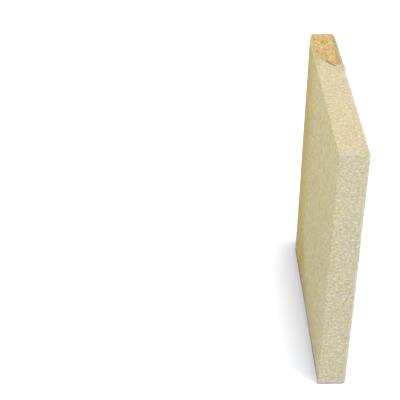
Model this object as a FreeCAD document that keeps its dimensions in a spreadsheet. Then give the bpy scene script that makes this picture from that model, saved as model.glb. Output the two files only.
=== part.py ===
"""Refractory firebrick: a pressed and fired fireclay slab that stands on its short edge.

One piece. X is the thickness, with the hot face at -X. Y is the length, with the plain end at -Y
and the damaged end at +Y. Z is the height, and the origin is under the middle of the slab.
"""

import FreeCAD, Part
import math
import os
import Sketcher

# Driving dimensions in millimetres: alias, value, what it is
SIZES = [
    ("thickness", 30.0, "slab, hot face to cold face"),
    ("length", 260.0, "slab, end to end"),
    ("height", 295.0, "slab, foot to top"),
    ("upright_radius", 2.0, "rounding of the four upright arrises"),
    ("top_radius", 1.4, "rounding of the arrises round the top"),
    ("foot_chamfer", 0.8, "small flat on the arrises round the foot, left by the press"),
    ("bevel_depth", 5.0, "hot face's rear bevel, measured across the thickness"),
    ("bevel_run", 18.0, "hot face's rear bevel, measured along the length"),
    ("bevel_blend", 30.0, "radius where the bevel leaves the hot face"),
    ("skin_width", 4.4, "strip of whole top left between the break and the hot face"),
    ("shoulder_reach", 57.0, "rear end to where the break turns away from the hot face"),
    ("nose_reach", 81.0, "rear end to the front of the break"),
    ("nose_inset", 18.5, "hot face to the corner of the break at its front"),
    ("nose_width", 8.0, "front of the break, across the slab"),
    ("crack_width", 5.0, "foot of the break's front wall, across to the rise of its floor"),
    ("crack_depth", 3.0, "break at the foot of its front wall, below the top"),
    ("side_depth", 1.0, "break beside the strip of whole top"),
    ("floor_depth", 0.8, "break over its raised middle"),
    ("hollow_depth", 1.8, "break in the dip near the rear end"),
    ("edge_depth", 0.5, "break where it runs out through the cold face"),
    ("corner_depth", 2.2, "corner knocked off at the rear of the cold face"),
    ("corner_span", 30.0, "length of upright arris that the lost corner takes"),
    ("nick_depth", 0.9, "nick in the cold face's top arris"),
    ("nick_span", 15.0, "length of the nick"),
    ("nick_reach", 103.0, "rear end to the middle of the nick"),
    ("toe_depth", 1.8, "worn toe of the cold face's foot, at the plain end"),
    ("toe_span", 34.0, "length of the toe's whole arc, half of it on the slab"),
    ("wear_depth", 1.6, "wear along the hot face's foot"),
    ("wear_span", 210.0, "length of the wear"),
    ("wear_shift", 22.0, "middle of the wear, ahead of the slab's middle"),
    ("clearance", 3.0, "how far a cut runs out past the slab"),
]

# Sine and cosine of half a right angle, for cuts that take an arris evenly from both its faces
DIAGONAL = math.sqrt(0.5)
CUTTER_WIDTH = 8                 # a cutting cylinder's length, as a multiple of the cut's depth
DIP_PLACE, MIDDLE_PLACE = 0.35, 0.7      # sections of the break, from the rear end to its shoulder


def fill_sheet(document):
    """Puts every driving dimension in a cell that has its name."""
    sheet = document.addObject("Spreadsheet::Sheet", "sizes")
    for row, (alias, value, meaning) in enumerate(SIZES, start=1):
        sheet.set(f"A{row}", alias)
        sheet.set(f"B{row}", str(value))
        sheet.setAlias(f"B{row}", alias)
        sheet.set(f"C{row}", meaning)
    document.recompute()
    return sheet


def origin_plane(body, role):
    """One of the body's own origin planes."""
    return next(feature for feature in body.Origin.OriginFeatures if feature.Role == role)


def place_start(sketch, line, across, along):
    """Ties the start of a line to two expressions, measured from the sketch's origin."""
    for axis, kind, expression in (("x", "DistanceX", across), ("y", "DistanceY", along)):
        constraint = sketch.addConstraint(Sketcher.Constraint(kind, -1, 1, line, 1, 1.0))
        label = f"corner{line}_{axis}"
        sketch.renameConstraint(constraint, label)
        sketch.setExpression(f"Constraints.{label}", expression)


def closed_outline(sketch, corners):
    """A closed outline of straight lines through corners.

    A corner is two expressions that it is tied to, and a rough place in the same order round the
    outline, where the sketch's solver starts."""
    count = len(corners)
    for number in range(count):
        here = FreeCAD.Vector(*corners[number][2])
        there = FreeCAD.Vector(*corners[(number + 1) % count][2])
        sketch.addGeometry(Part.LineSegment(here, there), False)
    for number in range(count):
        following = (number + 1) % count
        sketch.addConstraint(Sketcher.Constraint("Coincident", number, 2, following, 1))
    for number, (across, along, _) in enumerate(corners):
        place_start(sketch, number, across, along)


def slab(body, sheet):
    """The pressed slab: its plan with the rear bevel, padded to the height."""
    half_thickness = sheet.thickness / 2
    half_length = sheet.length / 2
    plan = body.newObject("Sketcher::SketchObject", "plan")
    plan.AttachmentSupport = (origin_plane(body, "XY_Plane"), [""])
    plan.MapMode = "FlatFace"
    cold_face = "sizes.thickness / 2"
    hot_face = "-sizes.thickness / 2"
    plain_end = "-sizes.length / 2"
    rear_end = "sizes.length / 2"
    bevel_x = "-sizes.thickness / 2 + sizes.bevel_depth"
    bevel_y = "sizes.length / 2 - sizes.bevel_run"
    corners = [
        (hot_face, plain_end, (-half_thickness, -half_length)),
        (cold_face, plain_end, (half_thickness, -half_length)),
        (cold_face, rear_end, (half_thickness, half_length)),
        (bevel_x, rear_end, (-half_thickness + sheet.bevel_depth, half_length)),
        (hot_face, bevel_y, (-half_thickness, half_length - sheet.bevel_run)),
    ]
    closed_outline(plan, corners)
    pad = body.newObject("PartDesign::Pad", "pressed_slab")
    pad.Profile = plan
    pad.setExpression("Length", "sizes.height")
    return pad


def edges_where(shape, wanted):
    """Names of the shape's edges whose middle passes the test."""
    names = []
    for number, edge in enumerate(shape.Edges, start=1):
        if wanted(edge, edge.CenterOfMass):
            names.append(f"Edge{number}")
    return names


def upright(edge):
    """True for an edge that runs straight up."""
    bottom, top = edge.Vertexes[0].Point, edge.Vertexes[-1].Point
    return abs(abs(top.z - bottom.z) - edge.Length) < 1e-6


def ease_arrises(document, body, sheet, pad):
    """Rounds the bevel's start, the upright arrises and those round the top, and chamfers the foot's."""
    bevel_y = sheet.length / 2 - sheet.bevel_run
    document.recompute()

    def starts_bevel(middle):
        return abs(middle.y - bevel_y) < 1e-3

    blend = body.newObject("PartDesign::Fillet", "bevel_start")
    soft = edges_where(pad.Shape, lambda edge, middle: upright(edge) and starts_bevel(middle))
    blend.Base = (pad, soft)
    blend.setExpression("Radius", "sizes.bevel_blend")
    document.recompute()

    corner = body.newObject("PartDesign::Fillet", "upright_arrises")

    def is_corner(edge, middle):
        away = abs(middle.y) > sheet.length / 2 - 1e-3
        return upright(edge) and away

    corner.Base = (blend, edges_where(blend.Shape, is_corner))
    corner.setExpression("Radius", "sizes.upright_radius")
    document.recompute()

    def rim_at(level):
        def is_rim(edge, middle):
            return edge.BoundBox.ZLength < 1e-6 and abs(middle.z - level) < 1e-6
        return is_rim

    top = body.newObject("PartDesign::Fillet", "top_arrises")
    top.Base = (corner, edges_where(corner.Shape, rim_at(sheet.height)))
    top.setExpression("Radius", "sizes.top_radius")
    document.recompute()

    foot = body.newObject("PartDesign::Chamfer", "foot_arrises")
    foot.Base = (top, edges_where(top.Shape, rim_at(0.0)))
    foot.setExpression("Size", "sizes.foot_chamfer")
    document.recompute()
    return foot


def break_section(body, name, reach, inset, wall_depth, floor_depth, edge_depth, outside):
    """One upright section across the break, at its reach from the rear end."""
    section = body.newObject("Sketcher::SketchObject", f"break_{name}")
    section.AttachmentSupport = (origin_plane(body, "XZ_Plane"), [""])
    section.MapMode = "FlatFace"
    section.setExpression("AttachmentOffset.Base.z", f"-(sizes.length / 2 - {reach})")
    wall = f"-sizes.thickness / 2 + {inset}"
    rise = f"{wall} + sizes.crack_width"
    above = "sizes.height + sizes.clearance"
    corners = [
        (wall, above, (0.0, 9.0)),
        (wall, f"sizes.height - {wall_depth}", (0.0, 0.0)),
        (rise, f"sizes.height - {floor_depth}", (5.0, 1.0)),
        (outside, f"sizes.height - {edge_depth}", (18.0, 2.0)),
        (outside, above, (18.0, 9.0)),
    ]
    closed_outline(section, corners)
    return section


def broken_corner(document, body):
    """The spalled patch at the rear of the top: facets ruled through sections along the slab.

    Behind the shoulder it keeps a strip of whole top beside the hot face. From there its front
    wall runs aslant to the nose, and the floor is deepest, as a crack, along the foot of it."""
    strip, shoulder = "sizes.skin_width", "sizes.shoulder_reach"
    side, floor, edge = "sizes.side_depth", "sizes.floor_depth", "sizes.edge_depth"
    hollow, crack = "sizes.hollow_depth", "sizes.crack_depth"
    halfway_in = "(sizes.skin_width + sizes.nose_inset) / 2"
    halfway_along = "(sizes.shoulder_reach + sizes.nose_reach) / 2"
    beyond = "sizes.thickness / 2 + sizes.clearance"
    nose_end = "-sizes.thickness / 2 + sizes.nose_inset + sizes.nose_width"
    sections = [
        break_section(body, "tail", "-sizes.clearance", strip, side, floor, side, beyond),
        break_section(body, "dip", f"{DIP_PLACE} * {shoulder}", strip, side, hollow, side, beyond),
        break_section(body, "middle", f"{MIDDLE_PLACE} * {shoulder}", strip, side, floor, edge,
                      beyond),
        break_section(body, "shoulder", shoulder, strip, hollow, floor, edge, beyond),
        break_section(body, "slant", halfway_along, halfway_in, crack, floor, edge, beyond),
        break_section(body, "nose", "sizes.nose_reach", "sizes.nose_inset", crack, hollow, edge,
                      nose_end),
    ]
    document.recompute()
    spall = body.newObject("PartDesign::SubtractiveLoft", "broken_corner")
    spall.Profile = sections[0]
    spall.Sections = sections[1:]
    spall.Ruled = True
    document.recompute()
    return spall


def take_arris(body, name, point, outward, across, span, depth):
    """Cuts a shallow arc out of an arris with a wide cylinder that lies across it.

    point is the arc's middle on the sharp arris, as three expressions. outward points away from
    the slab midway between the two faces, and across lies in the cut, square to the arris."""
    cut = body.newObject("PartDesign::SubtractiveCylinder", name)
    radius = f"((({span}) / 2) ^ 2 + ({depth}) ^ 2) / (2 * ({depth}))"
    width = f"({CUTTER_WIDTH} * ({depth}))"
    cut.setExpression("Radius", radius)
    cut.setExpression("Height", width)
    turn = FreeCAD.Rotation(FreeCAD.Vector(0, 0, 1), FreeCAD.Vector(*across))
    cut.Placement = FreeCAD.Placement(FreeCAD.Vector(0, 0, 0), turn)
    for axis, middle, away, along in zip("xyz", point, outward, across):
        place = f"{middle} + ({away}) * ({radius} - ({depth})) - ({along}) * {width} / 2"
        cut.setExpression(f"Placement.Base.{axis}", place)
    return cut


def worn_arrises(document, body):
    """The knocked-off corner, the nick, the worn toe and the long wear at the hot face's foot."""
    hot, cold = "-sizes.thickness / 2", "sizes.thickness / 2"
    plain, rear, top = "-sizes.length / 2", "sizes.length / 2", "sizes.height"
    rear_and_cold = (DIAGONAL, DIAGONAL, 0), (DIAGONAL, -DIAGONAL, 0)
    top_and_cold = (DIAGONAL, 0, DIAGONAL), (DIAGONAL, 0, -DIAGONAL)
    foot_and_cold = (DIAGONAL, 0, -DIAGONAL), (DIAGONAL, 0, DIAGONAL)
    foot_and_hot = (-DIAGONAL, 0, -DIAGONAL), (DIAGONAL, 0, -DIAGONAL)
    take_arris(body, "lost_corner", (cold, rear, top), *rear_and_cold,
               "sizes.corner_span", "sizes.corner_depth")
    take_arris(body, "top_nick", (cold, "sizes.length / 2 - sizes.nick_reach", top),
               *top_and_cold, "sizes.nick_span", "sizes.nick_depth")
    take_arris(body, "worn_toe", (cold, plain, "0"), *foot_and_cold,
               "sizes.toe_span", "sizes.toe_depth")
    take_arris(body, "foot_wear", (hot, "-sizes.wear_shift", "0"), *foot_and_hot,
               "sizes.wear_span", "sizes.wear_depth")
    document.recompute()


def firebrick(document, sheet):
    """The whole brick, as one body."""
    body = document.addObject("PartDesign::Body", "firebrick")
    body.Label = "firebrick"
    pad = slab(body, sheet)
    ease_arrises(document, body, sheet, pad)
    whole = body.Shape.Volume
    broken_corner(document, body)
    without_patch = body.Shape.Volume
    worn_arrises(document, body)
    print(f"whole slab {whole:.0f} mm3, break takes {whole - without_patch:.0f} mm3, "
          f"worn arrises take {without_patch - body.Shape.Volume:.0f} mm3")
    body.Placement = FreeCAD.Placement()
    return body


def check(document, parts):
    """Stops where any object has failed or any part's shape isn't one sound solid."""
    for item in document.Objects:
        if "Invalid" in item.State or "Error" in item.State:
            raise RuntimeError(f"{item.Name} failed: {item.State}")
    for part in parts:
        if part.Shape.isNull() or not part.Shape.isValid():
            raise RuntimeError(f"{part.Label} has no sound shape")
        if len(part.Shape.Solids) != 1:
            raise RuntimeError(f"{part.Label} has {len(part.Shape.Solids)} solids")


def main():
    document = FreeCAD.newDocument("firebrick")
    sheet = fill_sheet(document)
    parts = [firebrick(document, sheet)]
    document.recompute()
    check(document, parts)
    os.makedirs("parts", exist_ok=True)
    for part in parts:
        part.Shape.exportStep(f"parts/{part.Label}.step")
        box = part.Shape.optimalBoundingBox()
        print(f"{part.Label}: {box.XLength:.2f} x {box.YLength:.2f} x {box.ZLength:.2f} mm, "
              f"{part.Shape.Volume / 1000:.1f} cm3, {len(part.Shape.Faces)} faces")


main()
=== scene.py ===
# %% [markdown]
# # A refractory firebrick with a broken corner
#
# The object is one slab of fireclay, pressed in a mould and fired, that lines the side of a stove.
# It stands on its short edge. One upper corner has spalled off, and there the golden, grainy body
# shows through the pale skin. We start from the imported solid, which fixes the size and the place
# of everything, and give it the surface that a press, a kiln and a knock leave behind.

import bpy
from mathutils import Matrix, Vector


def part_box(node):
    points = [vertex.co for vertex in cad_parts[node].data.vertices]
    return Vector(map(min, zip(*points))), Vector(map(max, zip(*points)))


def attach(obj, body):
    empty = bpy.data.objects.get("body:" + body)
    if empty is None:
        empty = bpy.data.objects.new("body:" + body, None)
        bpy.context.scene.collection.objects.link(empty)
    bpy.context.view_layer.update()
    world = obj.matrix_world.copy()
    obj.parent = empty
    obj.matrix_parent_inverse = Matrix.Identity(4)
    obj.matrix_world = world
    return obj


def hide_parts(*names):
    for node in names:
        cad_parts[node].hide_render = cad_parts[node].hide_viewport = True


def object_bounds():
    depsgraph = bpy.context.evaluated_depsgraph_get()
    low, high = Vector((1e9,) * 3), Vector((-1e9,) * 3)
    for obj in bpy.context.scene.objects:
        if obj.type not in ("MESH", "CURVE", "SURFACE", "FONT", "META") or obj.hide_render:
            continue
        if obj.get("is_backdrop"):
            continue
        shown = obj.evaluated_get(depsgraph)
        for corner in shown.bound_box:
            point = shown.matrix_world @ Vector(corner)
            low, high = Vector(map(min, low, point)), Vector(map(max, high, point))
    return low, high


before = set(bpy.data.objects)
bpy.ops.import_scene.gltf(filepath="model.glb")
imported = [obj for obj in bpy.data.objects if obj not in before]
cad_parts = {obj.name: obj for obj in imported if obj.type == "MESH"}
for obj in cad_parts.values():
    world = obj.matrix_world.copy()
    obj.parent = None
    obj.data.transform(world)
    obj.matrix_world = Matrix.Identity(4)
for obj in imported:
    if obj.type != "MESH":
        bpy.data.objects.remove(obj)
packed_box = [list(corner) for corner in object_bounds()]
print("pieces in the packed brick:", sorted(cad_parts))

# %% [markdown]
# ## Sizes, taken from the solid
#
# Blender works in metres, but a brick is thought of in millimetres, so every length below is in
# millimetres and is turned into metres only where it is handed to Blender. The three main sizes
# are read from the solid: nothing here can drift away from it.

# %% Read the slab's sizes
import math

import bmesh
import bpy
from mathutils import Matrix, Vector, noise
from mathutils.bvhtree import BVHTree

MM = 0.001
low, high = (Vector(corner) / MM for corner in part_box("firebrick"))
THICKNESS, LENGTH, HEIGHT = high - low
HOT, COLD = low.x, high.x  # the face towards the fire, and the one towards the stove's wall
PLAIN, REAR = low.y, high.y  # the plain end, and the end by the broken corner
FOOT, TOP = low.z, high.z
print(f"slab {THICKNESS:.1f} x {LENGTH:.1f} x {HEIGHT:.1f} mm")

# %% [markdown]
# ## The camera
#
# The view looks down on the slab from in front of its plain end, a little to the hot face's side.
# A camera can be pointed by a constraint that tracks a target, but then its slight roll is lost.
# Three plain turns say the same thing exactly: tilt down, swing sideways, roll. A long lens from a
# metre away keeps the uprights nearly parallel.

# %% Place the camera
PICTURE = 400  # pixels along each side of the picture
CAMERA_PLACE = Vector((-165.05, -933.89, 802.64))
LOOKS_DOWN = math.radians(34.671)
SWINGS_RIGHT = math.radians(1.512)
ROLLS = math.radians(0.111)
FILM_WIDTH = 36.0
FOCAL_LENGTH = 92.416

lens = bpy.data.cameras.new("view_of_slab")
lens.sensor_width = FILM_WIDTH
lens.lens = FOCAL_LENGTH
camera = bpy.data.objects.new("view_of_slab", lens)
bpy.context.scene.collection.objects.link(camera)
bpy.context.scene.camera = camera
tilt = Matrix.Rotation(math.pi / 2 - LOOKS_DOWN, 4, "X")
turn = Matrix.Rotation(-SWINGS_RIGHT, 4, "Z") @ tilt @ Matrix.Rotation(ROLLS, 4, "Z")
camera.matrix_world = Matrix.Translation(CAMERA_PLACE * MM) @ turn


def seen_at(place):
    """The pixel of the picture where a place in millimetres shows, from the upper left."""
    local = camera.matrix_world.inverted() @ (Vector(place) * MM)
    scale = PICTURE * FOCAL_LENGTH / FILM_WIDTH / -local.z
    return PICTURE / 2 + scale * local.x, PICTURE / 2 - scale * local.y


for name, place in (("hot foot, plain end", (HOT, PLAIN, FOOT)), ("cold top, rear", (COLD, REAR, TOP))):
    print(name, "shows at pixel", "%.1f, %.1f" % seen_at(place))

# %% [markdown]
# ## The floor
#
# A catalogue picture of a brick has a white sweep, so that only its own form and colour
# speak. A flat sheet is enough here, because the camera looks down and never sees the horizon. The
# sheet is faintly blue. It is lit until it turns pure white, and only in the shadow does the blue
# show: there it cancels the warm light that the brick throws back.

# %% Lay the floor
FLOOR_SIDE = 12000.0
FLOOR_WHITE = (0.818, 0.839, 0.916, 1.0)


def lay_floor():
    """A flat, matt and pale floor, wide enough to fill the picture."""
    paint = bpy.data.materials.new("floor_white")
    paint.use_nodes = True
    shader = paint.node_tree.nodes["Principled BSDF"]
    shader.inputs["Base Color"].default_value = FLOOR_WHITE
    shader.inputs["Roughness"].default_value = 1.0
    sheet = bmesh.new()
    bmesh.ops.create_grid(sheet, x_segments=2, y_segments=2, size=FLOOR_SIDE * MM / 2)
    mesh = bpy.data.meshes.new("studio_floor")
    sheet.to_mesh(mesh)
    sheet.free()
    mesh.materials.append(paint)
    floor = bpy.data.objects.new("studio_floor", mesh)
    bpy.context.scene.collection.objects.link(floor)
    return floor


lay_floor()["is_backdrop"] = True
print("floor is", FLOOR_SIDE / 1000, "m wide")

# %% [markdown]
# ## The light
#
# The slab stands in even light, and its shadow ends within a hand's breadth of the hot face. A white
# world gives the even light. A wide lamp would soften the shadow too, but stretch it far over the
# floor. So the key is a sun that stands almost overhead and leans a little to the cold face's side,
# with a disc of only a few degrees. A weak, wide sun from the cold face's side keeps the floor there
# free of shadow and skims the grain of the plain end. The plain view transform keeps the colours
# that we choose, where a filmic one would grey them.

# %% Light the studio
SKY_STRENGTH = 1.22
KEY = {"strength": 0.34, "disc": 9, "elevation": 85.5, "bearing": -25}
SKIM = {"strength": 0.40, "disc": 40, "elevation": 30, "bearing": -28}


def hang_sun(name, strength, disc, elevation, bearing):
    """A soft sun: its bearing turns from +X, and below zero towards the plain end."""
    lamp = bpy.data.lights.new(name, "SUN")
    lamp.energy = strength * math.pi
    lamp.angle = math.radians(disc)
    sun = bpy.data.objects.new(name, lamp)
    level, rise = math.cos(math.radians(elevation)), math.sin(math.radians(elevation))
    side, ahead = math.cos(math.radians(bearing)), math.sin(math.radians(bearing))
    sun.rotation_euler = Vector((level * side, level * ahead, rise)).to_track_quat("Z", "Y").to_euler()
    bpy.context.scene.collection.objects.link(sun)
    print(f"{name}: {elevation} degrees up, {bearing} round")


world = bpy.data.worlds.new("white_studio")
world.use_nodes = True
world.node_tree.nodes["Background"].inputs["Color"].default_value = (1.0, 1.0, 1.0, 1.0)
world.node_tree.nodes["Background"].inputs["Strength"].default_value = SKY_STRENGTH
bpy.context.scene.world = world
hang_sun("overhead_key", **KEY)
hang_sun("skim_light", **SKIM)
bpy.context.scene.view_settings.view_transform = "Standard"

# %% [markdown]
# ## A blank that is fine where the form is fine
#
# A brick could be a cube with a displacement modifier, but even spacing wastes its faces on the
# flats and starves the arrises. Instead we rule a box: lines lie close together beside each arris
# and further apart between. The three lists of lines are shared by all six sides, so the sides meet
# at the same points and the blank is closed.

# %% Rule the lines of the box
ARRIS_BAND = 3.0  # width of the closely ruled band beside each arris
ARRIS_STEP = 0.5
FLAT_STEP = 2.1
ACROSS_STEP = 0.9  # across the thickness, where the sides are narrow


def rulings(start, end, step):
    """Numbers from start to end: close together in a band at either end, and step apart between."""
    stretches = [
        (start, start + ARRIS_BAND, ARRIS_STEP),
        (start + ARRIS_BAND, end - ARRIS_BAND, step),
        (end - ARRIS_BAND, end, ARRIS_STEP),
    ]
    lines = [start]
    for first, last, widest in stretches:
        count = round((last - first) / widest)
        lines += [first + (last - first) * i / count for i in range(1, count + 1)]
    return lines


across = rulings(HOT, COLD, ACROSS_STEP)
along = rulings(PLAIN, REAR, FLAT_STEP)
upward = rulings(FOOT, TOP, FLAT_STEP)
print(f"lines: {len(across)} across, {len(along)} along, {len(upward)} up")

# %% [markdown]
# A quad belongs to a side of the box: two of its three numbers run, and the third stays at an end.
# Going round the quad one way or the other decides which way it faces, so the near side of each
# pair is turned over.

# %% Build the blank box
def box_of(rules):
    """A closed bmesh box whose sides are ruled by three lists of numbers."""
    box = bmesh.new()
    made = {}

    def corner(steps):
        if steps not in made:
            made[steps] = box.verts.new([rule[step] for rule, step in zip(rules, steps)])
        return made[steps]

    for axis in range(3):
        first, second = (axis + 1) % 3, (axis + 2) % 3
        for end in (0, len(rules[axis]) - 1):
            for i in range(len(rules[first]) - 1):
                for j in range(len(rules[second]) - 1):
                    ring = []
                    for di, dj in ((0, 0), (1, 0), (1, 1), (0, 1)):
                        steps = [0, 0, 0]
                        steps[axis], steps[first], steps[second] = end, i + di, j + dj
                        ring.append(corner(tuple(steps)))
                    box.faces.new(ring if end else ring[::-1])
    return box


blank = box_of((across, along, upward))
print("blank:", len(blank.faces), "quads")

# %% [markdown]
# The broken corner and the plain end, which faces the camera, carry finer relief than the rest.
# Subdividing only the edges of those zones adds points there, and the quads round them are split
# to match, so the surface stays closed.

# %% Add points where the relief is fine
BREAK_START = 33.0  # the broken corner lies behind this, along the length
BREAK_BAND = 7.0  # and reaches this far below the top
BREAK_CUTS = 2
HAIR = 0.001  # nearer to the plain end than this, a point lies on it
LONG_EDGE = 1.2  # an upright edge longer than this gets a point in its middle


def cut_edges(mesh, cuts, wanted):
    """Subdivides the edges whose two ends both pass the test."""
    edges = [edge for edge in mesh.edges if all(wanted(vert.co) for vert in edge.verts)]
    bmesh.ops.subdivide_edges(mesh, edges=edges, cuts=cuts, use_grid_fill=True)


cut_edges(blank, BREAK_CUTS, lambda place: place.y > BREAK_START and place.z > TOP - BREAK_BAND)


def rises(edge):
    """True for a long edge of the plain end that runs up."""
    first, second = (vert.co for vert in edge.verts)
    on_end = max(first.y, second.y) < PLAIN + HAIR
    return on_end and abs(first.z - second.z) > LONG_EDGE


uprights = [edge for edge in blank.edges if rises(edge)]
bmesh.ops.subdivide_edges(blank, edges=uprights, cuts=1, use_grid_fill=True)
print("blank with finer zones:", len(blank.faces), "faces")

# %% [markdown]
# ## Laying the blank on the solid
#
# Blender's Shrinkwrap modifier could pull the blank onto the solid, but it picks the nearest spot,
# and then points bunch up on one side of the crack. A ray is steadier. Each point looks straight
# in from its own side, or slantwise beside an arris, and goes where its ray meets the solid. The
# bevel, the rounded arrises, the worn foot and the broken corner all come from the solid like this.

# %% Send every point to the solid
CORE_INSET = 6.0  # beside an arris, rays aim at a core this far inside the box
LOOK_FROM = 4.0
solid_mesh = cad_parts["firebrick"].data
solid = BVHTree.FromPolygons([vert.co / MM for vert in solid_mesh.vertices],
                             [list(face.vertices) for face in solid_mesh.polygons])


def outward_at(place):
    """The way out from the core through a place on the box."""
    inset = Vector((CORE_INSET, CORE_INSET, CORE_INSET))
    inner_low, inner_high = low + inset, high - inset
    core = Vector(min(max(place[i], inner_low[i]), inner_high[i]) for i in range(3))
    return (place - core).normalized()


def on_solid(place, outward):
    """Where the ray that comes in through a place on the box meets the solid."""
    start = place + outward * LOOK_FROM
    hit = solid.ray_cast(start, -outward, LOOK_FROM + 2 * CORE_INSET)[0]
    return hit if hit is not None else solid.find_nearest(place)[0]


outwards = [outward_at(vert.co) for vert in blank.verts]
seats = [on_solid(vert.co, outward) for vert, outward in zip(blank.verts, outwards)]
moved = max((seat - vert.co).length for seat, vert in zip(seats, blank.verts))
print(f"{len(seats)} points seated, the furthest moved {moved:.2f} mm")

# %% [markdown]
# ## Small tools for relief
#
# All relief here is a number of millimetres, in or out. Noise from Blender's mathutils gives a
# smooth wandering value between about -1 and 1 at any place. Dividing the place by a size first
# sets how wide its bumps are, which is easier to think about than a frequency.

# %% Helpers for noise and soft steps
FACING = (0.35, 0.65)  # the arrow's squared part, from where a side fades in to where it is full


def wander(place, size, shift=0.0):
    """Smooth noise between about -1 and 1 whose bumps are about size millimetres wide."""
    return noise.noise(place / size + Vector((shift, -shift, 0.5 * shift)))


def soft_step(start, end, value):
    """0 below start, 1 above end, and a smooth rise between."""
    share = min(max((value - start) / (end - start), 0.0), 1.0)
    return share * share * (3 - 2 * share)


def between(limits, value):
    """0 outside, 1 inside, and soft steps where the value comes in and goes out."""
    comes_in, goes_out = limits
    return soft_step(*comes_in, value) * (1.0 - soft_step(*goes_out, value))


def facing(part):
    """How far a spot faces one way, from 0 to 1, by its outward arrow's part along that way."""
    return soft_step(*FACING, part ** 2) if part > 0 else 0.0


def side_shares(outward):
    """How far a spot belongs to the hot face, the ends and the top, each from 0 to 1."""
    return facing(-outward.x), facing(abs(outward.y)), facing(outward.z)


print("a spot on the plain end belongs to hot, ends, top:", side_shares(Vector((0, -1, 0))))

# %% [markdown]
# ## The broken corner
#
# A spall leaves three things: a ragged line where the skin ends, a grainy floor, and here a narrow
# crack along the foot of the front wall. The solid has the patch as flat facets. A boolean with a
# rough block could tear it, but leaves slivers where its faces cross. A measured distance is
# cleaner. The line where the skin ends is a short list of places in plan, read off the real brick,
# and every spot asks how far it is from that line. Noise shifts the spot first, and the straight
# runs turn ragged.

# %% Draw the line where the skin ends
SKIN_END = [  # in plan, from the rear end to the cold face
    (-10.2, 134.0), (-10.9, 109.0), (-10.6, 80.0), (-8.9, 71.0), (-5.7, 62.6), (-3.2, 58.7),
    (-0.6, 55.9), (1.6, 51.6), (4.0, 48.9), (6.8, 49.0), (9.6, 52.2), (19.0, 53.4),
]
RAGGED = 0.60  # how far the line strays
RAGGED_FINE = 0.6  # and how much of that again in turns a third as wide
RAGGED_SIZE = 4.5


def wobbled(place):
    """The spot in plan, shifted a little by coarse and fine noise."""
    def stray(seed):
        fine = wander(place, RAGGED_SIZE / 3, 2 * seed)
        return RAGGED * (wander(place, RAGGED_SIZE, seed) + RAGGED_FINE * fine)

    return Vector((place.x + stray(3.0), place.y + stray(7.0)))


def inside_break(spot):
    """True behind the line: the runs are crossed an odd number of times on the way to the front."""
    corners = [Vector(corner) for corner in SKIN_END]
    crossed = 0
    for start, end in zip(corners, corners[1:]):
        if min(start.x, end.x) <= spot.x < max(start.x, end.x):
            level = start.y + (end.y - start.y) * (spot.x - start.x) / (end.x - start.x)
            crossed += level < spot.y
    return crossed % 2 == 1


def from_line(spot, places):
    """The distance to a line, and how many of its places were passed at the nearest spot."""
    best = (math.inf, 0.0)
    for step in range(len(places) - 1):
        start, end = Vector(places[step]), Vector(places[step + 1])
        run = end - start
        share = min(max((spot - start).dot(run) / run.length_squared, 0.0), 1.0)
        best = min(best, ((spot - start - run * share).length, step + share))
    return best


print("the spot (5, 90) lies in the break:", inside_break(Vector((5.0, 90.0))))

# %% [markdown]
# The grains of a fired body are crushed older brick, two or three millimetres across, held in
# finer clay. Where the body tears, they stand out as rounded lumps. Voronoi noise gives the
# distance to the nearest of many scattered points, and one minus that distance is such a lump.
# The floor lies half a millimetre down, dips towards the rear, and falls away at the cold face.

# %% Shape the floor of the break
FLOOR_DEPTH, LEAST_DEPTH = 0.5, 0.1
SWELL_HEIGHT, SWELL_SIZE = 0.35, 11.0
GRAIN, GRAIN_HEIGHT = 2.6, 0.7
FINE_GRAIN, FINE_HEIGHT = GRAIN / 2.2, 0.3
DIP_DEPTH = 0.7  # added in the dip near the rear end
DIP_ALONG = (85.0, 100.0), (115.0, 128.0)  # it starts between the first two
EDGE_FALL = 1.3  # added where the floor runs out at the cold face
FALL_ALONG, FALL_ACROSS = (48.0, 68.0), (COLD - 4.5, COLD)


def lump(place, size):
    """A rounded grain: 1 at its middle, and towards 0 between grains."""
    return 1.0 - min(noise.voronoi(place / size)[0][0], 1.0)


def floor_depth(place):
    """How deep the torn floor lies below the top, away from the cracks."""
    coarse, fine = lump(place, GRAIN) - 0.5, lump(place, FINE_GRAIN) - 0.5
    swell = SWELL_HEIGHT * wander(place, SWELL_SIZE, 2.0)
    dip = DIP_DEPTH * between(DIP_ALONG, place.y)
    fall = EDGE_FALL * soft_step(*FALL_ACROSS, place.x) * soft_step(*FALL_ALONG, place.y)
    grains = GRAIN_HEIGHT * coarse + FINE_HEIGHT * fine
    return max(FLOOR_DEPTH + dip + fall + swell - grains, LEAST_DEPTH)


print("floor under the middle of the break: %.2f mm" % floor_depth(Vector((0.0, 90.0, TOP))))

# %% [markdown]
# Just behind the line the floor drops into the crack, and a short branch runs back from the crack's
# head. Two more bodies could be cut out with booleans, but both cracks are finer than the grain and
# would leave slivers. They are distances too: the deeper a spot lies between their sides, the
# further it sinks. The branch starts as a wide, deep spot and narrows as it runs back.

# %% Open the crack and its branch
CRACK_DEPTH = 2.2
CRACK_RUN = (3.8, 4.3), (8.0, 9.6)  # where it opens and dies, in places of the line passed
CRACK_SIDE = (2.31, 4.62)  # the floor rises from the crack over these distances from the line
CRACK_DARK = 0.6  # how dark it is, where the branch is 1
BRANCH = [(-3.6, 59.5), (-2.6, 64.0), (-1.7, 71.0)]
BRANCH_DEPTH, BRANCH_WIDTH = 2.6, 2.5
BRANCH_NARROWS = 0.35  # the share of its width that it loses from one place to the next
BRANCH_DIES = (0.3, 1.9)
BRANCH_BED = 0.4  # the share of its width where it is deepest


def crack_share(away, passed):
    """How far a spot lies in the crack: it opens at one end of its run and dies out at the other."""
    return between(CRACK_RUN, passed) * (1.0 - soft_step(*CRACK_SIDE, away))


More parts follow.
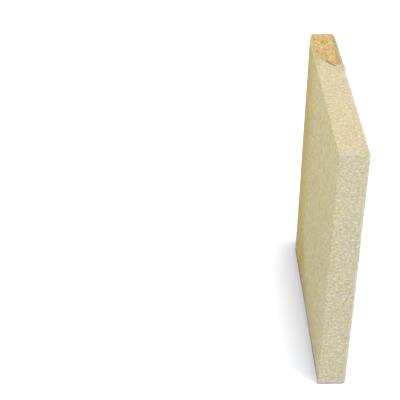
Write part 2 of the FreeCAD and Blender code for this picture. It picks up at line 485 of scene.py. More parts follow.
def branch_share(spot):
    """How far a spot lies in the branch."""
    beside, run = from_line(spot, BRANCH)
    width = BRANCH_WIDTH * (1.0 - BRANCH_NARROWS * run)
    return (1.0 - soft_step(*BRANCH_DIES, run)) * (1.0 - soft_step(BRANCH_BED * width, width, beside))


def torn_floor(place, spot, away, passed):
    """How deep the floor lies at a place inside the break, cracks and all, and how dark they are."""
    crack, branch = crack_share(away, passed), branch_share(spot)
    floor = floor_depth(place) + BRANCH_DEPTH * branch
    return floor + crack * (CRACK_DEPTH - floor), max(CRACK_DARK * crack, branch)


print("crack share 1 mm behind its middle: %.2f" % crack_share(1.0, 7.0))

# %% [markdown]
# ## Worn arrises
#
# An arris of fired clay is never a clean edge: it is rubbed all along and chipped here and there.
# A chip cuts the arris at a slant. So for a point near two faces we measure its depth along the
# slant between them, and where noise says that the arris is worn deeper than that, the point is
# pushed in to the worn depth. The cold face's arrises took more knocks than the hot face's.

# %% Find the two nearest sides
SOFTNESS = {"hot": 0.45, "cold": 1.0, "other": 0.8}  # how easily the arrises of each side chip
ARRIS_REACH = 4.5  # an arris is felt this far in
CLEAR_OF_FACE = 5.0  # the ray that finds the hot face starts this far out from it


def hot_face_at(y):
    """Where the hot face lies at half height, clear of the front arris: its rear is bevelled."""
    start = Vector((HOT - CLEAR_OF_FACE, max(y, PLAIN + ARRIS_REACH), HEIGHT / 2))
    hit = solid.ray_cast(start, Vector((1, 0, 0)), THICKNESS)[0]
    return hit.x if hit is not None else HOT


def nearest_sides(seat):
    """The two nearest sides of the slab: the distance to each, its way out and its softness."""
    sides = [
        (seat.x - hot_face_at(seat.y), (-1, 0, 0), "hot"), (COLD - seat.x, (1, 0, 0), "cold"),
        (seat.y - PLAIN, (0, -1, 0), "other"), (REAR - seat.y, (0, 1, 0), "other"),
        (seat.z - FOOT, (0, 0, -1), "other"), (TOP - seat.z, (0, 0, 1), "other"),
    ]
    nearest = sorted(sides, key=lambda side: side[0])[:2]
    return [(distance, Vector(way), SOFTNESS[name]) for distance, way, name in nearest]


print("the hot face's bevel takes %.2f mm off at the rear end" % (hot_face_at(REAR - 1.0) - HOT))

# %% [markdown]
# The solid rounds its upright and upper arrises evenly, and a bevel modifier would do the same. On
# the real brick they differ. Those of the hot face and of the cold face are crisp where nothing
# has knocked them, so there the points are moved out of the rounding again: nearly to a sharp
# corner beside the hot face, and a little way beside the cold face.

# %% Wear, chip and fill the arrises
RUBBED, RUBBED_SIZE = 0.42, 14.0
CHIPPED, CHIP_SIZE = 1.9, 6.5
SPARED, COLD_SPARED = 0.28, 0.16  # noise below this takes no chip: fewer of the cold face's are spared
CRUMBS, CRUMB_SIZE = 0.12, 1.4
CHIP_SHOWS = (0.15, 0.5)  # depths from which a chip shows the body's colour
CRISP = 0.25  # the cold face's arrises are crisper than the solid's by this
CRISP_REACH = (0.5, 2.5)
FILLED = 0.85  # the hot face's are filled out to this share of a sharp corner


def chip_depth(seat, outward, softness):
    """How much deeper than the rubbing a chip goes at a spot of an arris."""
    spared = COLD_SPARED if outward.x > 0.5 else SPARED
    return CHIPPED * softness * max(wander(seat, CHIP_SIZE, 5.0) - spared, 0.0)


def filling(seat, outward, near, slant):
    """How far a point beside an arris that isn't worn moves out of the solid's rounding."""
    if outward.x > 0.5:
        uneven = 0.6 + 0.8 * wander(seat, 9.0, 14.0)
        return CRISP * uneven * (1.0 - soft_step(*CRISP_REACH, slant))
    if outward.x < -0.5 and (outward.y < -0.5 or outward.z > 0.5):
        return FILLED * near * math.sqrt(2)
    return 0.0


def arris_shift(seat):
    """How wear or filling moves a point beside an arris, and how far it lies in a chip."""
    (near, side, softness), (far, other_side, other_softness) = nearest_sides(seat)
    if far > ARRIS_REACH:
        return Vector(), 0.0
    slant = (near + far) * math.sqrt(0.5)
    outward = (side + other_side).normalized()
    chip = chip_depth(seat, outward, min(softness, other_softness))
    worn = RUBBED * (1 + 0.6 * wander(seat, RUBBED_SIZE, 4.0))
    if outward.x > 0.5 or outward.z < -0.5:
        worn -= CRISP + RUBBED
    loss = worn + chip + CRUMBS * wander(seat, CRUMB_SIZE, 6.0) - slant
    shift = -loss if loss > 0.0 else filling(seat, outward, near, slant)
    return outward * shift, soft_step(*CHIP_SHOWS, chip)


print("furthest shift beside an arris: %.2f mm" % max(arris_shift(seat)[0].length for seat in seats))

# %% [markdown]
# ## The pressed skin
#
# The mould was steel and the clay was crumbly, so the flats are nearly true: a slight warp from
# drying, and the grains just under the skin. The ends were struck off and are coarser than the hot
# face, which was pressed against polished steel. The foot keeps flat, since it carries the brick.

# %% Give the skin its grain
WARP, WARP_SIZE = 0.10, 85.0
SKIN_GRAIN = {"hot": 0.05, "end": 0.17, "top": 0.11, "cold": 0.10}
COARSE_SIZE, FINE_SIZE = 3.4, 1.5


def skin_relief(seat, outward):
    """How far the skin stands out from the solid."""
    hot, end, top = side_shares(outward)
    cold = max(1.0 - hot - end - top, 0.0)
    shares = {"hot": hot, "end": end, "top": top, "cold": cold}
    strength = sum(SKIN_GRAIN[side] * share for side, share in shares.items())
    grain = wander(seat, COARSE_SIZE) + 0.5 * wander(seat, FINE_SIZE, 1.0)
    return WARP * wander(seat, WARP_SIZE, 8.0) + strength * grain


print("skin relief at the middle of the plain end: %.3f mm"
      % skin_relief(Vector((0, PLAIN, HEIGHT / 2)), Vector((0, -1, 0))))

# %% [markdown]
# The knock that broke the corner also lifted a flake at the outer end of the break. It stands up
# like a small nub and starts in a step, with a shallow nick ahead of it. Sculpting by hand could
# pull it out, but can't be repeated from numbers. A few soft steps along the length, the height
# and the thickness mark the flake and the nick, and the points there are moved.

# %% Lift the flake at the end of the break
FLAKE_ALONG = (37.0, 38.8), (45.0, 62.0)  # it rises between the first two, and sinks after
FLAKE_UP, FLAKE_ACROSS = (TOP - 17.0, TOP - 12.0), (5.0, 9.0)
FLAKE_LIFT = 1.7  # how far it is lifted at its outer front corner
FLAKE_RISE = 0.24  # and how much further out than the cold face it stands
FLAKE_LIFTED, FLAKE_RISEN = (10.0, COLD), (COLD - 4.0, COLD - 1.0)  # where, across the slab
SWELL = 0.36  # the cold face itself is fuller than the solid's above its foot
SWELL_UP, SWELL_ACROSS = (10.0, 110.0), (COLD - 3.0, COLD - 1.0)
NICK_ALONG = (22.0, 31.0), (37.0, 38.5)
NICK_UP = TOP - 24.0, TOP - 14.0


def flake_share(seat):
    """How far a spot lies on the lifted flake."""
    return between(FLAKE_ALONG, seat.y) * soft_step(*FLAKE_UP, seat.z) * soft_step(*FLAKE_ACROSS, seat.x)


def cold_swell(seat):
    """How far the cold face stands out from the solid's: less in the nick, and more at the flake."""
    nick = between(NICK_ALONG, seat.y) * soft_step(*NICK_UP, seat.z)
    full = soft_step(*SWELL_UP, seat.z) * soft_step(*SWELL_ACROSS, seat.x) * (1.0 - nick)
    return SWELL * full + FLAKE_RISE * flake_share(seat) * soft_step(*FLAKE_RISEN, seat.x)


print("the flake's outer edge stands out by %.2f mm" % cold_swell(Vector((COLD, 42.0, TOP))))

# %% [markdown]
# The cold face and the rear end were never meant to be seen, and are left rougher: here and there a
# grain has dropped out. A pit is a ball's cap. Voronoi noise scatters middles through space, and
# where a ball round a middle meets the face, it leaves a round hollow. Balls whose middles lie off
# the face meet it in smaller rounds, so the pits come in every size.

# %% Sink the pits of the hidden sides
PIT_SPACING, PIT_DEPTH = 16.0, 0.8
PIT_RADIUS, PIT_VARIES = 3.6, 0.3  # the share of the radius that changes from pit to pit
PIT_SLOPE = (0.25, 1.0)  # from its flat bed to its rim, in radii


def hidden_share(outward):
    """How far a spot belongs to the cold face or the rear end."""
    return max(facing(outward.x), facing(outward.y))


def pit_share(seat, outward):
    """How deep a spot lies in a pit, from 0 to 1."""
    distances, middles = noise.voronoi(seat / PIT_SPACING)
    radius = PIT_RADIUS * (1.0 - PIT_VARIES + PIT_VARIES * noise.cell(middles[0] * 9.0))
    inside = 1.0 - soft_step(*PIT_SLOPE, distances[0] * PIT_SPACING / radius)
    return hidden_share(outward) * inside


print("share of a spot of the cold face:", hidden_share(Vector((1, 0, 0))))

# %% [markdown]
# ## Putting the relief together
#
# Each point goes to its seat on the solid, then takes the torn floor, or the skin's grain and the
# arris wear. Behind the line where the skin ends, a point of the break goes to the torn floor, and
# ahead of it up to the whole top again. The torn patch could be painted as a mask, but the same
# distances give the mask and the shape at once.

# %% Tell torn places from whole ones
TORN_SIDE = 0.5  # how far down the cold face the skin is torn
SIDE_STRAY, SIDE_BLEND = 0.6, 0.4
SKIN_EDGE = 0.3  # the torn floor is reached this far behind the line
FILL_BELOW = CRACK_DEPTH + 1.0  # spots of the top that lie less deep than this are filled up
CORNER_SLANT = (0.95, 1.35)  # how far in from the old corner its torn place starts
CORNER_BESIDE, CORNER_UP = (4.0, 6.0), (TOP - 20.0, TOP - 15.0)
CORNER_GRAIN = 0.6


def lost_corner(seat):
    """How far a spot belongs to the corner knocked off at the rear of the cold face."""
    to_cold, to_rear = COLD - seat.x, REAR - seat.y
    slant = (to_cold + to_rear) * math.sqrt(0.5)
    beside = 1.0 - soft_step(*CORNER_BESIDE, max(to_cold, to_rear))
    return soft_step(*CORNER_SLANT, slant) * beside * soft_step(*CORNER_UP, seat.z)


def torn(seat, top):
    """The place on the torn floor for a spot of the break, with its shares of break and crack."""
    spot = wobbled(seat)
    away, passed = from_line(spot, SKIN_END)
    below = TOP - seat.z
    level, broken, crack = TOP if below < FILL_BELOW else seat.z, 0.0, 0.0
    if inside_break(spot):
        floor, crack = torn_floor(seat, spot, away, passed)
        limit = TORN_SIDE + SIDE_STRAY * wander(seat, 5.0, 11.0)
        down_side = 1.0 - soft_step(limit - SIDE_BLEND, limit + SIDE_BLEND, below)
        broken = soft_step(0.0, SKIN_EDGE, away) * max(top, down_side)
        level = TOP - floor * broken
    return Vector((seat.x, seat.y, seat.z + top * (level - seat.z))), broken, crack * top


print("torn share at the middle of the break:", torn(Vector((0.0, 90.0, TOP)), 1.0)[1])

# %% [markdown]
# What happened to a point, and where it gets painted shade or light, is also written down as named
# values, so that the material can colour a break, a chip or a side by what it is. Painting colours
# onto the points would fix them at the mesh's spacing. A soft value for each cause lets the material
# add its own finer noise.

# %% Note painted shade and light, dust and wear
TALL_SHADE_REACH = 35.0  # the painted contact shade is low at the plain end, and taller from this far behind it
SHADE_FADE_ON_END, SHADE_FADE_ON_SIDES = (0.6, 2.4), (2.0, 7.5)  # heights over which the painted contact shade fades
DUST_UP = (4.0, 8.0)
# where the painted golden bounce light and shade lie on the hot face
GOLDEN_BACK = (60.0, (10.0, 90.0)), (10.0, (200.0, TOP))  # how far back, and over which heights
GOLDEN_BLEND = 45.0
FADE_ALONG, FADE_UP = (-70.0, PLAIN), (120.0, 260.0)
WARM_ALONG, WARM_SLANT = (48.0, 80.0), 1.5  # the top turns golden, sooner beside the hot face
OUTER = (COLD - 8.0, COLD - 2.0)
STRIP_WIDTH, STRIP_MORE = 2.4, 1.2  # the grey strip of rubbing and painted shade, and how much wider it is high on the end
STRIP_UP, STRIP_ON_FACE = (90.0, 180.0), (0.9, 3.6)
FRONT_STRIP, FRONT_ACROSS, FRONT_WORN = (1.5, 4.0), (1.0, 7.0), 0.8


def foot_notes(seat, end):
    """The painted contact shade round the foot, and the pale dust over it on the ends."""
    up = seat.z - FOOT
    tall_shade = soft_step(PLAIN, PLAIN + TALL_SHADE_REACH, seat.y) * (1.0 - end)
    fades = [end_fade + (side_fade - end_fade) * tall_shade for end_fade, side_fade in zip(SHADE_FADE_ON_END, SHADE_FADE_ON_SIDES)]
    # painted shade: a dark line that stands in for the shadow where the slab meets the floor
    line = (0.7 + 0.3 * tall_shade) * (1.0 - soft_step(*fades, up))
    return line, end * (1.0 - soft_step(*DUST_UP, up))


def hot_face_notes(seat, hot):
    """How much painted golden bounce light and shade lies on a spot of the hot face towards its rear,
    and how far the end's colour fades in.
    """
    middle = sum(back * soft_step(*heights, seat.z) for back, heights in GOLDEN_BACK)
    golden = hot * soft_step(middle - GOLDEN_BLEND, middle + GOLDEN_BLEND, seat.y)
    fading = 0.6 * hot * soft_step(*FADE_ALONG, seat.y)
    return golden, fading * (1.0 - 0.7 * soft_step(*FADE_UP, seat.z))


def edge_notes(seat, hot):
    """How warm the break leaves a spot of the top, and how near any spot lies to the cold face."""
    warm = soft_step(*WARM_ALONG, seat.y + WARM_SLANT * (HOT + 9.0 - seat.x)) * (1.0 - hot)
    return warm, soft_step(*OUTER, seat.x + 1.5 * wander(seat, 6.0, 13.0))


def arris_wear_and_shade_share(seat, end):
    """How far a spot lies on a grey strip: that of the cold arrises, rubbed and partly painted shade,
    and that of the upper front arris, rubbed.
    """
    beside = min(TOP - seat.z, seat.y - PLAIN, REAR - seat.y) + 1.5 * wander(seat, 7.0, 16.0)
    reach = STRIP_WIDTH + STRIP_MORE * end * soft_step(*STRIP_UP, seat.z)
    off = COLD - seat.x + 0.6 * wander(seat, 5.0, 12.0)
    cold_arris = (1.0 - soft_step(0.4 * reach, reach, off)) * (1.0 - soft_step(*STRIP_ON_FACE, beside))
    off = max(TOP - seat.z, seat.y - PLAIN) + 0.8 * wander(seat, 4.0, 15.0)
    front_arris = (1.0 - soft_step(*FRONT_STRIP, off)) * (1.0 - soft_step(*FRONT_ACROSS, seat.x))
    return max(cold_arris, FRONT_WORN * front_arris)


print("rubbed share at the cold arris of the end: %.2f" % arris_wear_and_shade_share(Vector((COLD, PLAIN, 150.0)), 1.0))

# %% [markdown]
# One function now takes a point through all of it. The pushes add up, because wear, grain and pits
# came one after another on the real brick too. Skin relief and pits are left out where the skin is
# gone, and nothing may sink below the floor that the slab stands on.

# %% Shape every point
def shape_point(seat, outward):
    """The finished place of a point, and the notes on it."""
    hot, end, top = side_shares(outward)
    place, broken, crack = seat.copy(), 0.0, 0.0
    if seat.y > BREAK_START and seat.z > TOP - BREAK_BAND:
        place, broken, crack = torn(seat, top)
    corner = lost_corner(seat)
    bare = max(broken, corner)
    shift, chip = arris_shift(seat)
    pitted = pit_share(seat, outward) * (1.0 - bare)
    flake = flake_share(seat)
    place += shift * (1.0 - broken)
    place += outward * skin_relief(seat, outward) * (1.0 - bare)
    place += outward * corner * CORNER_GRAIN * (lump(seat, GRAIN) - 0.5)
    place -= outward * PIT_DEPTH * pitted
    place.x += cold_swell(seat)
    place.z += FLAKE_LIFT * flake * soft_step(*FLAKE_LIFTED, seat.x)
    place.z = max(place.z, FOOT)
    # painted contact shade at the foot, and pale dust on the ends
    foot_contact_shade, foot_dust = foot_notes(seat, end)
    rear_golden_bounce, front_fade = hot_face_notes(seat, hot)
    by_break, outer_edge = edge_notes(seat, hot)
    return place, {
        "hot_face": hot, "ends": end, "top_side": top, "hidden_side": hidden_share(outward),
        "broken": bare, "crack": crack, "chipped": chip, "flake": flake, "pitted": pitted,
        "foot_contact_shade": foot_contact_shade, "foot_dust": foot_dust, "rear_golden_bounce": rear_golden_bounce, "front_fade": front_fade,
        "arris_wear_and_shade": arris_wear_and_shade_share(seat, end), "by_break": by_break, "outer_edge": outer_edge,
    }


notes = {}
for vert, seat, outward in zip(blank.verts, seats, outwards):
    vert.co, values = shape_point(seat, outward)
    for name, value in values.items():
        notes.setdefault(name, []).append(value)
for name, values in notes.items():
    print(f"{name}: {sum(value > 0.5 for value in values)} points")

# %% [markdown]
# ## From points to a piece
#
# The shaped blank becomes the visible piece. It stands in for the solid, rides on its body, and
# takes its finish from the fireclay slot. Smooth shading lets light run over the relief without
# showing the facets.

# %% Make the visible slab
for vert in blank.verts:
    vert.co *= MM
blank.normal_update()
slab_mesh = bpy.data.meshes.new("fired_slab")
blank.to_mesh(slab_mesh)
blank.free()
slab_mesh.shade_smooth()
for name, values in notes.items():
    slab_mesh.attributes.new(name, "FLOAT", "POINT").data.foreach_set("value", values)
fired_slab = bpy.data.objects.new("fired_slab", slab_mesh)
bpy.context.scene.collection.objects.link(fired_slab)
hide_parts("firebrick")
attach(fired_slab, "root")
slab_mesh.calc_loop_triangles()
print("fired slab:", len(slab_mesh.loop_triangles), "triangles")

# %% [markdown]
# ## Helpers for building a material
#
# A material is a chain of small steps. Written out in full, each step takes five or six lines, so
# short helpers make a node, mix or patch colours, work out a number and read one of our notes. A
# socket goes in as a link, and anything else as a plain value.

# %% Helpers for nodes
fireclay = bpy.data.materials.new("fireclay")
fireclay.use_nodes = True
tree = fireclay.node_tree


def add_node(kind, feeds, **choices):
    """A new node: choices are its settings, and feeds fill its sockets, by name or number."""
    node = tree.nodes.new(kind)
    for setting, value in choices.items():
        setattr(node, setting, value)
    for socket, value in feeds.items():
        if isinstance(value, bpy.types.NodeSocket):
            tree.links.new(value, node.inputs[socket])
        else:
            node.inputs[socket].default_value = value
    return node


def mixed(share, first, second):
    """The colour between two colours."""
    return add_node("ShaderNodeMix", {0: share, 6: first, 7: second}, data_type="RGBA").outputs[2]


def number(way, first, second=0.0):
    """The outcome of one sum."""
    return add_node("ShaderNodeMath", {0: first, 1: second}, operation=way).outputs[0]


def times(first, second):
    """The product of two numbers."""
    return number("MULTIPLY", first, second)


def ramped(value, start, end, to_start=0.0, to_end=1.0):
    """The value with start to end stretched over another range, and held at its ends."""
    feeds = {"Value": value, "From Min": start, "From Max": end, "To Min": to_start, "To Max": to_end}
    return add_node("ShaderNodeMapRange", feeds, interpolation_type="SMOOTHSTEP").outputs["Result"]


def patched(colour, pattern, limits, share, other):
    """The colour with another over it: none at the pattern's first limit, and share at the second."""
    return mixed(ramped(pattern, *limits, 0.0, share), colour, other)


def noted(name):
    """One of the values written on the points."""
    return add_node("ShaderNodeAttribute", {}, attribute_name=name).outputs["Fac"]


print("nodes so far:", [node.name for node in tree.nodes])

# %% [markdown]
# ## Textures at their real size
#
# Procedural textures are placed by the object's own coordinates, in metres. A texture's scale is
# how many repeats fit in a metre, so a grain of three millimetres has a scale of 333. One helper
# turns a size into a scale, and the rest of the recipe can speak in millimetres.

# %% Helpers for textures
def per(size):
    """The texture scale at which features are about size millimetres wide."""
    return 1.0 / (size * MM)


here = add_node("ShaderNodeTexCoord", {}).outputs["Object"]


def stretched(scale, slant=0.0, kind="POINT"):
    """Texture places with a scale of its own for each axis, turned about the X axis."""
    feeds = {"Vector": here, "Rotation": (slant, 0.0, 0.0), "Scale": scale}
    return add_node("ShaderNodeMapping", feeds, vector_type=kind).outputs["Vector"]


def clouds(size, detail=2.0, place=here):
    """Soft noise, from 0 to 1, with features about size millimetres wide."""
    feeds = {"Vector": place, "Scale": per(size), "Detail": detail, "Roughness": 0.55}
    return add_node("ShaderNodeTexNoise", feeds).outputs["Fac"]


def cells(size, place=here):
    """Scattered cells about size millimetres apart: the distance to each middle, and a random
    colour for each cell."""
    node = add_node("ShaderNodeTexVoronoi", {"Vector": place, "Scale": per(size)})
    return node.outputs["Distance"], node.outputs["Color"]


def one_of_three(colour, channel):
    """One channel of a random colour, as a random number."""
    return add_node("ShaderNodeSeparateColor", {"Color": colour}).outputs[channel]


print("a 3 mm grain has the scale", round(per(3.0)))

# %% [markdown]
# ## Colour of the pressed skin
#
# Fired fireclay is a warm cream. The top is sandy. The ends are greener and greyer. The hot face,
# pressed against polished steel, is khaki with streaks that run up it, and towards the rear painted
# golden bounce light and shade lie on it. These side colours are partly the clay's own and partly
# painted light: the top is tinted warm like the lamp over it, the ends greener like bounce light from
# the pale floor, and the hot face yellower like bounce light from warm clay beside it. One flat colour
# for each side would look painted, so each gets a second colour that noise lets through here and there.

# %% Colour the three sides
# each side's colours are partly painted light: the tint of the light that falls on that side
SAND, ROSE_SAND = (0.410, 0.351, 0.206, 1.0), (0.411, 0.340, 0.234, 1.0)
GREEN_CREAM, GREY_CREAM = (0.409, 0.383, 0.236, 1.0), (0.405, 0.376, 0.262, 1.0)
OLIVE, TAN = (0.403, 0.350, 0.146, 1.0), (0.423, 0.346, 0.168, 1.0)
GOLDEN = (0.364, 0.264, 0.052, 1.0)
BY_BREAK = (0.344, 0.267, 0.109, 1.0)
FLAKE_GREY = (0.368, 0.350, 0.222, 1.0)
LOW_SHADE = (0.190, 0.180, 0.125, 1.0)  # painted shade, a little of it: darker towards the bottom
LOW_SHADE_FROM, LOW_SHADE_TO = 1.05 * HEIGHT * MM, 0.45 * HEIGHT * MM

hot_side, end_side, top_side = noted("hot_face"), noted("ends"), noted("top_side")
drift = ramped(clouds(12.0), 0.36, 0.64)
upward_streaks = clouds(15.0, 3.0, stretched((1.0, 1.0, 0.4)))
blotches = clouds(9.0, 3.0)
hot_colour = patched(OLIVE, upward_streaks, (0.40, 0.60), 1.0, TAN)
hot_colour = patched(hot_colour, blotches, (0.50, 0.75), 0.42, GOLDEN)
hot_colour = patched(hot_colour, blotches, (0.50, 0.25), 0.38, GREY_CREAM)
# painted golden bounce light and shade towards the rear of the hot face
hot_colour = mixed(noted("rear_golden_bounce"), hot_colour, GOLDEN)
end_colour = mixed(drift, GREEN_CREAM, GREY_CREAM)
warmer_places = ramped(clouds(22.0), 0.50, 0.66, 0.0, 0.22)
end_colour = mixed(warmer_places, end_colour, TAN)
hot_colour = mixed(noted("front_fade"), hot_colour, end_colour)
top_colour = mixed(warmer_places, mixed(drift, SAND, ROSE_SAND), TAN)
top_colour = mixed(times(noted("by_break"), 0.85), top_colour, BY_BREAK)
top_colour = mixed(times(noted("flake"), 0.60), top_colour, FLAKE_GREY)
skin = mixed(top_side, mixed(end_side, hot_colour, end_colour), top_colour)
rise = add_node("ShaderNodeSeparateXYZ", {"Vector": here}).outputs["Z"]
# painted shade: the sides grow a little darker towards the bottom
skin = patched(skin, rise, (LOW_SHADE_FROM, LOW_SHADE_TO), 0.13, LOW_SHADE)
print("three sides coloured with", len(tree.nodes), "nodes")

# %% [markdown]
# The two hidden sides get a cream that drifts towards tan over a hand's breadth, as the flame in
# the kiln touched one part more than another, and a few slanting scuffs from being slid over other
# bricks. A scuff is noise that is stretched along one direction, and masked so that it comes only
# in places. The texture has to be turned before it is stretched, which is what the mapping node's
# "texture" kind does.

# %% Colour the hidden sides
COLD_CREAM, COLD_TAN = (0.362, 0.320, 0.202, 1.0), (0.325, 0.262, 0.146, 1.0)
FLASHED = (0.280, 0.194, 0.094, 1.0)
SCUFFED = (0.520, 0.478, 0.375, 1.0)
PIT_BED = (0.225, 0.160, 0.075, 1.0)
SCUFF_SLANT = math.radians(32)

hidden = noted("hidden_side")
cold_colour = patched(COLD_CREAM, clouds(75.0, 3.0), (0.36, 0.64), 1.0, COLD_TAN)
cold_colour = patched(cold_colour, clouds(38.0, 4.0), (0.50, 0.70), 0.65, FLASHED)
cold_colour = patched(cold_colour, blotches, (0.50, 0.72), 0.35, GREY_CREAM)
dragged = stretched((1.0, 1.0, 18.0), SCUFF_SLANT, "TEXTURE")
scratches = ramped(clouds(3.2, place=dragged), 0.57, 0.68)
scuffs = times(scratches, ramped(clouds(48.0, 1.0), 0.48, 0.62, 0.0, 0.60))
cold_colour = mixed(scuffs, cold_colour, SCUFFED)
cold_colour = patched(cold_colour, noted("pitted"), (0.05, 0.60), 0.8, PIT_BED)
skin = mixed(hidden, skin, cold_colour)
print("hidden sides coloured")

# %% [markdown]
# ## Mottle and grain in the skin
#
# Over the colour lies a mottle of a few millimetres, light and dark, where coarse grains sit just
# under the skin. Between them run thin curling lines of fine clay. Noise gives such lines for free:
# wherever it crosses its middle value, it does so along a curve, so a narrow range round the middle
# picks them out. The hot face is smoother and shows less of it, and its own fine marks lie level,
# drawn out as the brick slid off the press.

# %% Add the mottle
PALE_GRAIN = (0.612, 0.566, 0.398, 1.0)
DARK_GRAIN = (0.225, 0.200, 0.130, 1.0)
IRON = (0.210, 0.120, 0.050, 1.0)
SLID_CALM = 0.45  # how much weaker the level marks are on the hot face's golden rear

# the hot face's rear, under its painted golden bounce light and shade
rear_bounce_share = times(hot_side, noted("rear_golden_bounce"))
coarse = 1.0
for place, calmed in (
    (hot_side, 0.22), (top_side, 0.18), (noted("by_break"), 0.45), (rear_bounce_share, 0.35), (hidden, 0.25),
):
    coarse = number("SUBTRACT", coarse, times(place, calmed))


def marked(colour, share, strength, mark):
    """The colour with marks on it, weaker where the skin is smooth."""
    return mixed(times(times(share, coarse), strength), colour, mark)


mottle = clouds(2.7, 3.0)
curls = number("ABSOLUTE", number("SUBTRACT", clouds(4.2, 1.0), 0.5))
skin = marked(skin, ramped(mottle, 0.52, 0.70), 0.56, PALE_GRAIN)
skin = marked(skin, ramped(mottle, 0.48, 0.30), 0.42, DARK_GRAIN)
skin = marked(skin, ramped(curls, 0.035, 0.010), 0.30, PALE_GRAIN)
along_slab = stretched((1.0, 0.6, 1.0))
sliding = clouds(3.4, 3.0, along_slab)
slid_there = number("SUBTRACT", hot_side, times(rear_bounce_share, SLID_CALM))
skin = mixed(times(slid_there, ramped(sliding, 0.45, 0.68, 0.0, 0.26)), skin, PALE_GRAIN)
skin = mixed(times(slid_there, ramped(sliding, 0.45, 0.28, 0.0, 0.25)), skin, DARK_GRAIN)
print("mottle added")

# %% [markdown]
# Single grains show as small round spots. Cells give one spot each: near its middle the distance
# is small. A random number for each cell then keeps only some of the spots, so they don't look
# sown in rows. Towards the cold face the ends show more of the dark ones, and on the hidden sides
# iron has melted into larger brown spots.

# %% Scatter single grains and iron specks
def spots(size, radius, kept):
    """Round spots, radius millimetres, in cells of that size: kept is the share that show."""
    distance, colour = cells(size)
    near = ramped(distance, radius / size, 0.6 * radius / size)
    shown = number("LESS_THAN", one_of_three(colour, "Red"), kept)
    return times(near, shown)


dark_spots, iron_specks = spots(4.6, 1.0, 0.42), spots(13.0, 0.75, 0.4)
skin = marked(skin, dark_spots, 0.48, DARK_GRAIN)
skin = marked(skin, spots(3.1, 0.75, 0.40), 0.50, DARK_GRAIN)
skin = marked(skin, spots(4.8, 1.0, 0.50), 0.48, PALE_GRAIN)
skin = marked(skin, iron_specks, 0.60, IRON)
gritty = times(times(end_side, noted("outer_edge")), spots(2.7, 0.75, 0.45))
skin = marked(skin, gritty, 0.55, DARK_GRAIN)
for radius, strength in ((4.2, 0.22), (2.0, 0.70)):  # a faint halo, and the spot in it
    iron = times(hidden, spots(31.0, radius, 0.5))
    skin = mixed(times(iron, strength), skin, IRON)
print("spots added")

# %% [markdown]
# The lowest few millimetres all round get painted contact shade: a dark line that stands in for the
# shadow where the slab meets the floor, taller along the sides than on the plain end. On the plain end
# pale dust lies over that. Both follow notes on the points, so they end softly.

# %% Darken the foot
# the colour of the painted contact shade at the foot
CONTACT_SHADE_COLOUR = (0.065, 0.062, 0.050, 1.0)
PALE_DUST = (0.440, 0.430, 0.360, 1.0)

skin = mixed(times(noted("foot_dust"), 0.45), skin, PALE_DUST)
# painted contact shade: a dark line round the foot in place of the shadow where it meets the floor
skin = mixed(times(noted("foot_contact_shade"), 0.92), skin, CONTACT_SHADE_COLOUR)
print("skin finished with", len(tree.nodes), "nodes")

# %% [markdown]
# ## Colour of the torn body
#
# Under the skin the body is golden: iron in the clay, never bleached by the fire. Every grain has
# its own tone, so here the cells' random numbers pick between straw, gold and rust. The press drew
# the grains out a little along the slab. Soft clouds of straw, rust and rose lie over them, since
# the clay wasn't mixed evenly. The crack is painted dark: painted shade for the little light that gets
# into it, and the dust that lies in it.

# %% Colour the break and the chips
GOLD = (0.392, 0.277, 0.098, 1.0)
STRAW = (0.444, 0.356, 0.168, 1.0)
RUST = (0.270, 0.150, 0.050, 1.0)
ROSE = (0.425, 0.312, 0.185, 1.0)
# the crack's colour: painted shade for its darkness, and dust
CRACK_SHADE_AND_DUST = (0.262, 0.215, 0.112, 1.0)

tone = one_of_three(cells(2.1, along_slab)[1], "Green")
body = patched(GOLD, tone, (0.55, 0.95), 1.0, STRAW)
body = patched(body, tone, (0.35, 0.05), 0.50, RUST)
body = patched(body, clouds(13.0), (0.50, 0.66), 0.20, STRAW)
body = patched(body, clouds(8.0), (0.46, 0.70), 0.42, RUST)
body = patched(body, clouds(6.0), (0.50, 0.62), 0.46, ROSE)
body = patched(body, noted("outer_edge"), (0.2, 0.9), 0.40, RUST)
surface = mixed(times(noted("chipped"), 0.35), skin, STRAW)
surface = patched(surface, noted("broken"), (0.35, 0.65), 1.0, body)
# painted shade and dust darken the crack
surface = patched(surface, noted("crack"), (0.05, 0.90), 1.0, CRACK_SHADE_AND_DUST)
print("body colour added")

# %% [markdown]
# ## Where the slab was handled, and painted shade on its cold arrises
#
# The arrises of the cold face, and the one over the plain end, were rubbed on shelves and by hands.
# The strip is greyer than the flats beside it, palest at the cold face, and runs over the break's
# outer edge as well, so it goes on last. Along the cold face its grey is partly painted shade: the
# rounded arris there turns away from the light. Where the cold arrises were knocked, dark flecks show
# in it. A clean band would look like paint, so noise breaks up the strip and its flecks.

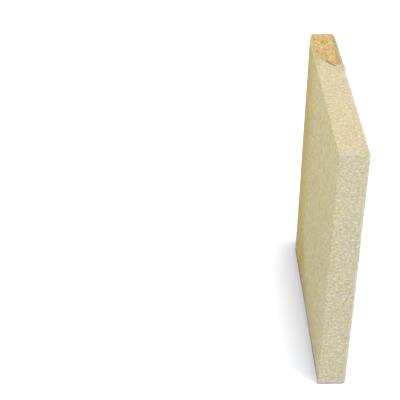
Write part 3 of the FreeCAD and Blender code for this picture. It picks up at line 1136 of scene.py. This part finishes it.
# %% Grey the rubbed arrises, and paint shade on the cold ones
# grey of the rubbed arrises, and of the painted shade on the cold ones
WEAR_AND_SHADE_GREY = (0.378, 0.356, 0.286, 1.0)
WEAR_AND_SHADE_PALE = (0.440, 0.420, 0.345, 1.0)

# the strip's share: rubbing, and along the cold face partly painted shade
worn = noted("arris_wear_and_shade")
flecks = clouds(2.6)
outer_edge = noted("outer_edge")
knocked = times(times(worn, outer_edge), ramped(clouds(17.0), 0.38, 0.55))
wear_and_shade_colour = mixed(outer_edge, WEAR_AND_SHADE_GREY, WEAR_AND_SHADE_PALE)
# grey of rubbing, and painted shade on the cold arrises
surface = mixed(times(worn, 0.68), surface, wear_and_shade_colour)
surface = marked(surface, times(knocked, ramped(flecks, 0.50, 0.36)), 0.60, DARK_GRAIN)
surface = marked(surface, times(worn, ramped(flecks, 0.54, 0.68)), 0.45, PALE_GRAIN)
print("arrises greyed")

# %% [markdown]
# ## Fine relief and the shader
#
# Relief smaller than the mesh's spacing is left to a bump: grit of about a millimetre, and the
# shallow holes of the dark grains. Fired clay is matt, so the roughness is high and the
# gloss low, each the same all over and set on the shader itself.

# %% Finish the material
GRIT_HEIGHT = 0.22 * MM
MOTTLE_SHARE = HOLE_SHARE = 0.8

grit = number("ADD", clouds(1.3, 3.0), times(mottle, MOTTLE_SHARE))
holes = number("ADD", dark_spots, iron_specks)
height = number("SUBTRACT", grit, times(holes, HOLE_SHARE))
bumped = add_node("ShaderNodeBump", {"Strength": 0.6, "Distance": GRIT_HEIGHT, "Height": height})
shader = tree.nodes["Principled BSDF"]
shader.inputs["Roughness"].default_value = 0.92
shader.inputs["Specular IOR Level"].default_value = 0.25
tree.links.new(surface, shader.inputs["Base Color"])
tree.links.new(bumped.outputs["Normal"], shader.inputs["Normal"])
slab_mesh.materials.append(fireclay)
print("fireclay material:", len(tree.nodes), "nodes")

# %% [markdown]
# ## The size of the finished piece
#
# The relief may only be skin deep: the finished piece has to fill the same box as the solid.

# %% Print the two boxes
finished_box = [list(corner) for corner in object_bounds()]
for name, box in (("packed", packed_box), ("finished", finished_box)):
    print(name, [round((box[1][i] - box[0][i]) / MM, 2) for i in range(3)], "mm")
